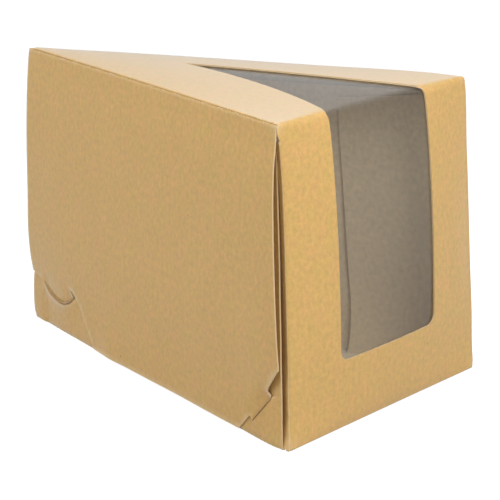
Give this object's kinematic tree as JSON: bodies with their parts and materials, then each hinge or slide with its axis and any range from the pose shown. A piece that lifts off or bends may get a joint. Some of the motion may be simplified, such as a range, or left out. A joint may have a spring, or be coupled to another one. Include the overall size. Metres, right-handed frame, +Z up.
{
  "type": "wedge-shaped cake slice carton",
  "caption": "Wedge-shaped kraft card carton for a slice of cake, with a clear window across its end and lid and locking tongues on its walls.",
  "frame": {"origin": "middle of the whole box's length and width, on the face that it stands on", "axes": "+Z up, +Y towards the pointed tip, -Y towards the windowed end, +X to the right when looking from the windowed end towards the tip"},
  "size_m": [0.0862, 0.1294, 0.0821],
  "materials": {
    "kraft_card": "uncoated kraft, matt, with fine fibre mottling",
    "clear_film": "clear gloss film"
  },
  "bodies": {
    "base": {"carton_base": "kraft_card", "window_film_end": "clear_film"},
    "lid": {"carton_lid": "kraft_card", "window_film_top": "clear_film"}
  },
  "joints": [
    {"name": "lid_hinge", "type": "hinge", "parent": "base", "child": "lid", "pos_m": [0, -0.05869, 0.07988], "axis": [1, 0, 0], "range_deg": [0, 105]}
  ]
}
